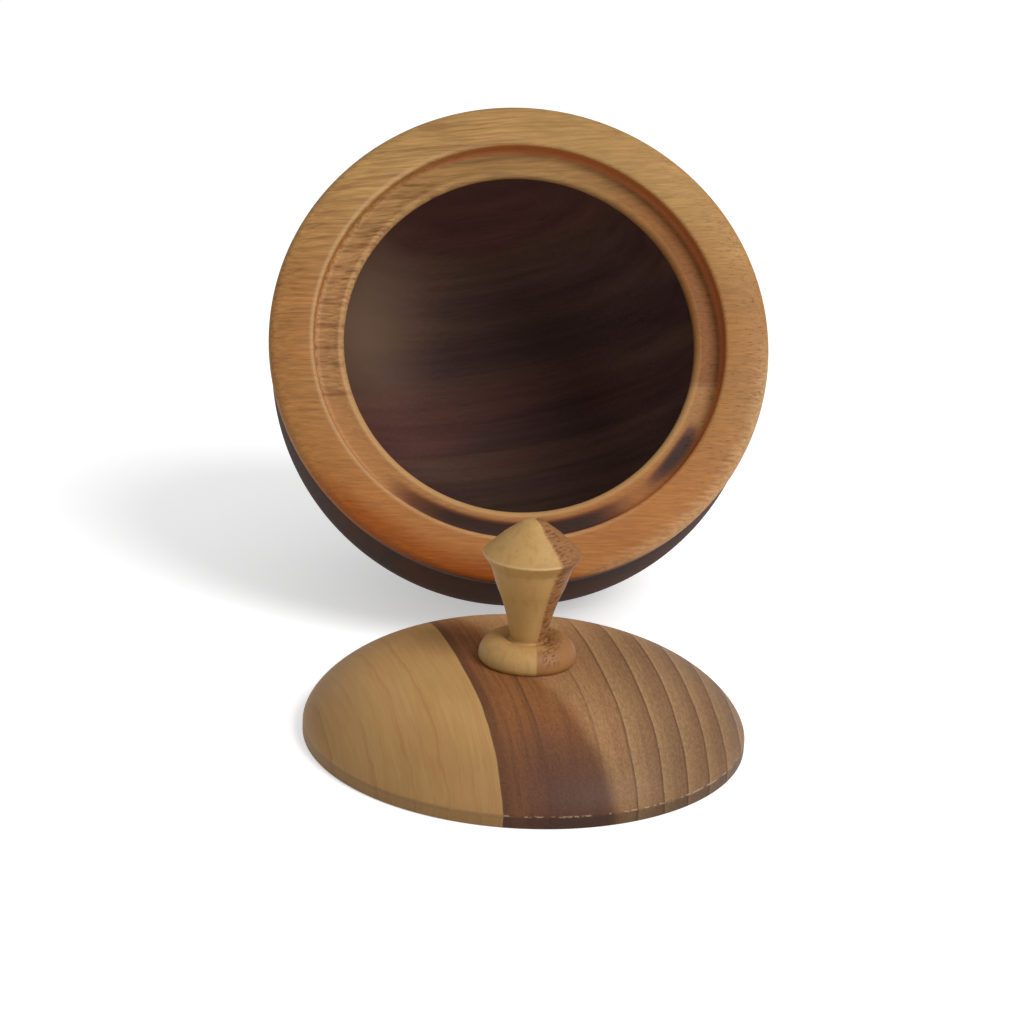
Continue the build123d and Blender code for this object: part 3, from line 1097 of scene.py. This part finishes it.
# %% Two-tone walnut
CHIP_PALE = (0.48, 0.33, 0.22)
MEET_RAGGED = 0.3 * MM
MEET_STEP = (HEART_EDGE - 0.15 * MM, HEART_EDGE + 0.15 * MM)
LID_LINE_CONTRAST = 0.18
LID_FIBRE_CONTRAST = 0.30
DOME_LIGHT_LIFT = 1.08
DOME_SHADE_STEP = mm(32, 51)
DOME_SHADE_LOSS = 0.24
EDGE_STEP = mm(51.2, 51.9)
EDGE_TOP_STEP = mm(2.4, 3.4)
EDGE_LOSS, EDGE_HEART_LOSS = 0.25, 0.20
DIRT_HEIGHT = 2.8 * MM
DIRT_LINE = mm(0.15, 0.60)
DIRT_STEP = (0.35, 0.55)
DIRT_SHARE = 0.45
CHIP_SIZE = (0.030, 1.2 * MM)     # radians round the edge, and metres up it
CHIP_HEIGHT = 3.0 * MM
CHIP_LINE = mm(0.08, 0.26)
CHIP_STEP = (0.46, 0.56)
CHIP_FRONT_STEP = mm(10, 30)
CHIP_SHARE = 0.5
LID_ROUGHNESS, LID_ROUGH_FIBRES = 0.50, 0.12
LID_FIBRE_HEIGHT, LID_LINE_HEIGHT, LID_PORE_HEIGHT = 0.4, 0.5, 0.6


def edge_chips(wood, edge):
    ticks = wood.streaks(wood.bearing(), wood.z, wood.radius, CHIP_SIZE, PLAIN_DETAIL)
    chips = wood.near(wood.z - CHIP_HEIGHT, *CHIP_LINE) * wood.rise(ticks, *CHIP_STEP)
    return chips * edge * wood.rise(-wood.y, *CHIP_FRONT_STEP)


def two_tone_walnut():
    wood = Finish("two-tone walnut", lid_middle, upright)
    lay_lid_grain(wood)
    meet = wood.layer + wood.vary(wood.fibres, MEET_RAGGED)
    is_heart = wood.rise(meet, *MEET_STEP)
    colour = wood.blend(is_heart, sapwood(wood), heartwood(wood))
    swings = (wood.lines, LID_LINE_CONTRAST), (wood.fibres, LID_FIBRE_CONTRAST)
    colour = wood.mottle(colour, *swings)

    # Painted light lifts the dome, and painted shade darkens it towards its edge.
    dome = DOME_LIGHT_LIFT - wood.rise(wood.radius, *DOME_SHADE_STEP) * DOME_SHADE_LOSS
    colour = wood.shade(colour, dome)
    edge = wood.rise(wood.radius, *EDGE_STEP)
    edge_loss = edge * wood.fall(wood.z, *EDGE_TOP_STEP) * (EDGE_LOSS + EDGE_HEART_LOSS * is_heart)
    colour = wood.shade(colour, 1 - edge_loss)
    dirt = wood.near(wood.z - DIRT_HEIGHT, *DIRT_LINE) * wood.rise(wood.fibres, *DIRT_STEP)
    colour = wood.blend(dirt * edge * (1 - is_heart) * DIRT_SHARE, colour, HEART_DARK)
    chips = edge_chips(wood, edge) * is_heart
    colour = wood.blend(chips * CHIP_SHARE, colour, CHIP_PALE)
    roughness = LID_ROUGHNESS + wood.fibres * LID_ROUGH_FIBRES
    height = wood.fibres * LID_FIBRE_HEIGHT + wood.lines * LID_LINE_HEIGHT
    height = height + wood.pores * is_heart * LID_PORE_HEIGHT - chips
    return wood.wear(colour, roughness, height, relief=0.03 * MM, specular=0.2)


lid_finish = two_tone_walnut()
print("made", lid_finish.name)

# %% [markdown]
# The knob is turned from a pale stick with upright grain. A painted highlight runs round
# the sharp edge of its head, and painted shade makes its stem a little tan. Its right side
# touches darker wood: a pinkish strip with short brown dashes runs from the head down to
# the flange. The dashes lean one way on the head and the other way on the stem. How far a
# point lies to the right, as a share of its distance from the axis, is the mask for the
# strip.

# %% Grain of the knob
KNOB_CLOUDS = mm(20, 6)
KNOB_LINES = mm(40, 1.6)
KNOB_FIBRES = mm(8, 0.3)
KNOB_DASHES = mm(1.6, 0.55)
DASH_LEAN = 0.55
LEAN_STEP = mm(25.5, 27)
AXIS_MARGIN = 0.2 * MM


def lay_knob_grain(wood):
    x, y, z = wood.x, wood.y, wood.z
    wood.clouds = wood.streaks(z, x, y, KNOB_CLOUDS)
    wood.lines = wood.streaks(z, x, y, KNOB_LINES, PLAIN_DETAIL)
    wood.fibres = wood.streaks(z, x, y, KNOB_FIBRES)
    lean = DASH_LEAN - wood.rise(z, *LEAN_STEP) * (2 * DASH_LEAN)
    along, across = z - (x + y) * lean, x - y + z * lean
    wood.dashes = wood.streaks(along, across, wood.radius, KNOB_DASHES, SMOOTH_DETAIL)
    wood.right = x / (wood.radius + AXIS_MARGIN)


print("knob dashes are", round(KNOB_DASHES[0] / MM, 1), "mm long")

# %% [markdown]
# On the flange the pink starts at one crisp line, and only a patch near the stem carries
# dashes, so the flange has its own masks.

# %% Pale knob wood
KNOB_PALE = (0.46, 0.270, 0.090)
KNOB_TAN = (0.36, 0.190, 0.064)
KNOB_PINK = (0.25, 0.094, 0.028)
KNOB_DASH = (0.12, 0.044, 0.010)
KNOB_ARRIS_HIGHLIGHT = (0.60, 0.42, 0.20)
TAN_STEP = (0.44, 0.66)
TAN_SHARE = 0.5
STEM_SHADE_BAND = (mm(4, 7), mm(23, 26))
STEM_SHADE_SHARE = 0.12
HEAD_EDGE_HEIGHT = 26.3 * MM
HEAD_EDGE_LINE = mm(0.15, 0.45)
HEAD_HIGHLIGHT_SHARE = 0.5
FLANGE_STEP = mm(5, 6)
FLANGE_PINK_STEP = mm(1.2, 1.8)
FLANGE_PINK_SHARE = 0.8
STRIP_STEP = (0.44, 0.60)
STRIP_RAGGED = 0.3
STRIP_SHARE = 0.85
PATCH_BAND = (mm(1.5, 4), mm(6, 8))
PATCH_LOW_STEP = mm(1.5, 3.5)
KNOB_DASH_STEP = (0.48, 0.60)
KNOB_DASH_SHARE = 0.8
FAR_RIGHT_STEP = (0.86, 0.96)
FAR_RIGHT_LOSS = 0.6
KNOB_FIBRE_CONTRAST, KNOB_LINE_CONTRAST = 0.2, 0.15
KNOB_ROUGHNESS, KNOB_ROUGH_FIBRES = 0.46, 0.14
KNOB_LINE_HEIGHT, KNOB_FIBRE_HEIGHT, KNOB_DASH_HEIGHT = 0.5, 0.4, 0.6


def pale_knob():
    wood = Finish("pale knob wood", knob_middle, upright)
    lay_knob_grain(wood)
    x, z = wood.x, wood.z
    tan = wood.rise(wood.lines, *TAN_STEP)
    colour = wood.blend(tan * TAN_SHARE, KNOB_PALE, KNOB_TAN)
    # Painted shade makes the stem a little tan.
    colour = wood.blend(wood.between(z, *STEM_SHADE_BAND) * STEM_SHADE_SHARE, colour, KNOB_TAN)
    # A painted highlight round the sharp edge of the head.
    head_highlight = wood.near(z - HEAD_EDGE_HEIGHT, *HEAD_EDGE_LINE)
    colour = wood.blend(head_highlight * HEAD_HIGHLIGHT_SHARE, colour, KNOB_ARRIS_HIGHLIGHT)

    flange = wood.fall(z, *FLANGE_STEP)
    pink = flange * wood.rise(x, *FLANGE_PINK_STEP)
    colour = wood.blend(pink * FLANGE_PINK_SHARE, colour, KNOB_PINK)
    strip = wood.rise(wood.right + wood.vary(wood.clouds, STRIP_RAGGED), *STRIP_STEP)
    strip = strip * (1 - flange)
    colour = wood.blend(strip * STRIP_SHARE, colour, KNOB_PINK)
    patch = flange * wood.between(x, *PATCH_BAND) * wood.rise(z, *PATCH_LOW_STEP)
    worn = wood.rise(wood.right, *FAR_RIGHT_STEP) * FAR_RIGHT_LOSS
    marks = wood.rise(wood.dashes, *KNOB_DASH_STEP) * (strip * (1 - worn) + patch)
    colour = wood.blend(marks * KNOB_DASH_SHARE, colour, KNOB_DASH)
    swings = (wood.fibres, KNOB_FIBRE_CONTRAST), (wood.lines, KNOB_LINE_CONTRAST)
    colour = wood.mottle(colour, *swings)
    roughness = KNOB_ROUGHNESS + wood.fibres * KNOB_ROUGH_FIBRES
    height = wood.lines * KNOB_LINE_HEIGHT + wood.fibres * KNOB_FIBRE_HEIGHT
    height = height - marks * KNOB_DASH_HEIGHT
    return wood.wear(colour, roughness, height, relief=0.03 * MM, specular=0.3)


knob_finish = pale_knob()
print("made", knob_finish.name)

# %% [markdown]
# Now the lathe runs once for each piece. The outline goes in as a curve, the result comes
# out as a plain mesh, and the curve and the modifier go away. The mesh's volume shows
# that it is closed and that its faces point outwards: an inside-out mesh has a negative
# one.

# %% Turn the pieces
def guide_curve(name, points):
    """The outline as a curve object for the lathe, in metres."""
    curve = bpy.data.curves.new(name, "CURVE")
    curve.dimensions = "3D"
    line = curve.splines.new("POLY")
    line.points.add(len(points) - 1)
    for spot, (radius, height) in zip(line.points, points):
        spot.co = (max(radius, 0) * MM, 0, height * MM, 1)
    guide = bpy.data.objects.new(name, curve)
    bpy.context.scene.collection.objects.link(guide)
    return guide


def turning(name, outline, stand, facets, finish):
    """One turned piece as a plain mesh object."""
    centre, tilt = stand
    guide = guide_curve(name + "_outline", outlines[outline])
    blank = bpy.data.objects.new(name + "_blank", bpy.data.meshes.new(name + "_blank"))
    bpy.context.scene.collection.objects.link(blank)
    machine = blank.modifiers.new("lathe", "NODES")
    machine.node_group = lathe
    wanted = {"Outline": guide, "Facets": facets, "Centre": centre, "Tilt": tilt, "Finish": finish}
    for socket in lathe.interface.items_tree:
        if socket.in_out == "INPUT":
            machine[socket.identifier] = wanted[socket.name]
    bpy.context.view_layer.update()
    depsgraph = bpy.context.evaluated_depsgraph_get()
    mesh = bpy.data.meshes.new_from_object(blank.evaluated_get(depsgraph))
    for helper in (blank, guide):
        bpy.data.objects.remove(helper)
    mesh.name = name
    piece = bpy.data.objects.new(name, mesh)
    bpy.context.scene.collection.objects.link(piece)
    return piece


LITRES_IN_A_CUBIC_METRE = 1000


def litres(piece):
    """The volume that the piece's faces enclose."""
    shape = bmesh.new()
    shape.from_mesh(piece.data)
    volume = shape.calc_volume(signed=True)
    shape.free()
    return volume * LITRES_IN_A_CUBIC_METRE


BOWL_STAND = (mouth, bowl_tilt)
LID_STAND = (lid_middle, upright)
KNOB_STAND = (knob_middle, upright)
LID_BODY = "lid_and_knob"
PIECES = [
    # name, outline, stand, facets, finish, body, node, slot
    ("turned_body", "body", BOWL_STAND, 320, dark_finish, "bowl", "bowl_body", "dark_walnut"),
    ("turned_rim", "rim", BOWL_STAND, 360, rim_finish, "bowl", "rim_ring", "pale_rim_wood"),
    ("turned_lid", "lid", LID_STAND, 320, lid_finish, LID_BODY, "lid", "two_tone_walnut"),
    ("turned_knob", "knob", KNOB_STAND, 200, knob_finish, LID_BODY, "knob", "pale_knob_wood"),
]
for name, outline, stand, facets, finish, body, node, slot in PIECES:
    piece = turning(name, outline, stand, facets, finish)
    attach(piece, body)
    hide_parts(node)
    print(name, len(piece.data.polygons), "faces,", round(litres(piece), 4), "litres")

# %% [markdown]
# The table is a wide pale floor. It shows white to the camera, because a little light is
# added for camera rays alone, and it still takes the soft shadow under the bowl.

# %% Floor
FLOOR_RADIUS = 4.0
FLOOR_FACETS = 96
FLOOR_COLOUR = (0.86, 0.86, 0.86)
FLOOR_LIFT = 0.45


def floor_finish():
    material = bpy.data.materials.new("pale table")
    material.use_nodes = True
    graph = material.node_tree
    graph.nodes.clear()
    tree = Tree(graph.nodes, graph.links)
    matt = tree.node("ShaderNodeBsdfDiffuse", None, {"Color": (*FLOOR_COLOUR, 1)})
    seen = tree.node("ShaderNodeLightPath", None, None, "Is Camera Ray")
    mirrored = tree.node("ShaderNodeLightPath", None, None, "Is Glossy Ray")
    passed = tree.node("ShaderNodeLightPath", None, None, "Is Transmission Ray")
    lift = (seen + mirrored + passed) * FLOOR_LIFT
    glow = tree.node("ShaderNodeEmission", None, {"Strength": lift})
    both = tree.node("ShaderNodeAddShader", None, {0: matt, 1: glow})
    graph.links.new(both.socket, graph.nodes.new("ShaderNodeOutputMaterial").inputs["Surface"])
    return material


def round_floor():
    shape = bmesh.new()
    bmesh.ops.create_circle(shape, cap_ends=True, segments=FLOOR_FACETS, radius=FLOOR_RADIUS)
    mesh = bpy.data.meshes.new("table")
    shape.to_mesh(mesh)
    shape.free()
    mesh.materials.append(floor_finish())
    floor = bpy.data.objects.new("table", mesh)
    bpy.context.scene.collection.objects.link(floor)
    return floor


round_floor()
print("floor", FLOOR_RADIUS * 2, "m across")

# %% [markdown]
# Soft studio light: an even white world and one large lamp on the right. The wall
# of the seat is in shade on its right side, so the light comes from there. Both stay at
# a plain level, at which a colour comes out about as it is written.

# %% Light
WORLD_STRENGTH = 0.60
LAMP_PLACE = (1.15, -1.0, 1.45)
LAMP_TARGET = (0, 0, 0.05)
LAMP_SIZE = 1.2
LAMP_POWER = 33.0


def white_world():
    world = bpy.data.worlds.new("studio")
    world.use_nodes = True
    graph = world.node_tree
    graph.nodes.clear()
    tree = Tree(graph.nodes, graph.links)
    seen = tree.node("ShaderNodeLightPath", None, None, "Is Camera Ray")
    level = WORLD_STRENGTH + seen * (1 - WORLD_STRENGTH)
    sky = tree.node("ShaderNodeBackground", None, {"Strength": level})
    graph.links.new(sky.socket, graph.nodes.new("ShaderNodeOutputWorld").inputs["Surface"])
    return world


def soft_lamp():
    lamp = bpy.data.lights.new("soft lamp", "AREA")
    lamp.shape = "DISK"
    lamp.size = LAMP_SIZE
    lamp.energy = LAMP_POWER
    holder = bpy.data.objects.new("soft lamp", lamp)
    holder.location = LAMP_PLACE
    aim = Vector(LAMP_TARGET) - holder.location
    holder.rotation_euler = aim.to_track_quat("-Z", "Y").to_euler()
    bpy.context.scene.collection.objects.link(holder)


bpy.context.scene.world = white_world()
soft_lamp()
bpy.context.scene.view_settings.view_transform = "Standard"
print("world", WORLD_STRENGTH, "and a lamp of", LAMP_POWER, "W")

# %% [markdown]
# The camera stands where the photograph was taken from: a little to the left, looking
# down by about 19 degrees and held slightly crooked. A camera looks along its own -Z, so
# it is tipped up from straight down, turned to the bowl and then rolled.

# %% Camera
CAMERA_PLACE = Vector((-39.6, -605.85, 242.77)) * MM
CAMERA_YAW = 3.591
CAMERA_PITCH = 18.887
CAMERA_ROLL = 2.797
CAMERA_LENS = 89.07

camera = bpy.data.objects.new("camera", bpy.data.cameras.new("camera"))
camera.data.lens = CAMERA_LENS
turned = Matrix.Rotation(math.radians(-CAMERA_YAW), 4, "Z")
tipped = Matrix.Rotation(math.radians(90 - CAMERA_PITCH), 4, "X")
rolled = Matrix.Rotation(math.radians(CAMERA_ROLL), 4, "Z")
camera.matrix_world = Matrix.Translation(CAMERA_PLACE) @ turned @ tipped @ rolled
bpy.context.scene.collection.objects.link(camera)
bpy.context.scene.camera = camera
print("camera", round((CAMERA_PLACE - mouth).length, 3), "m from the mouth")
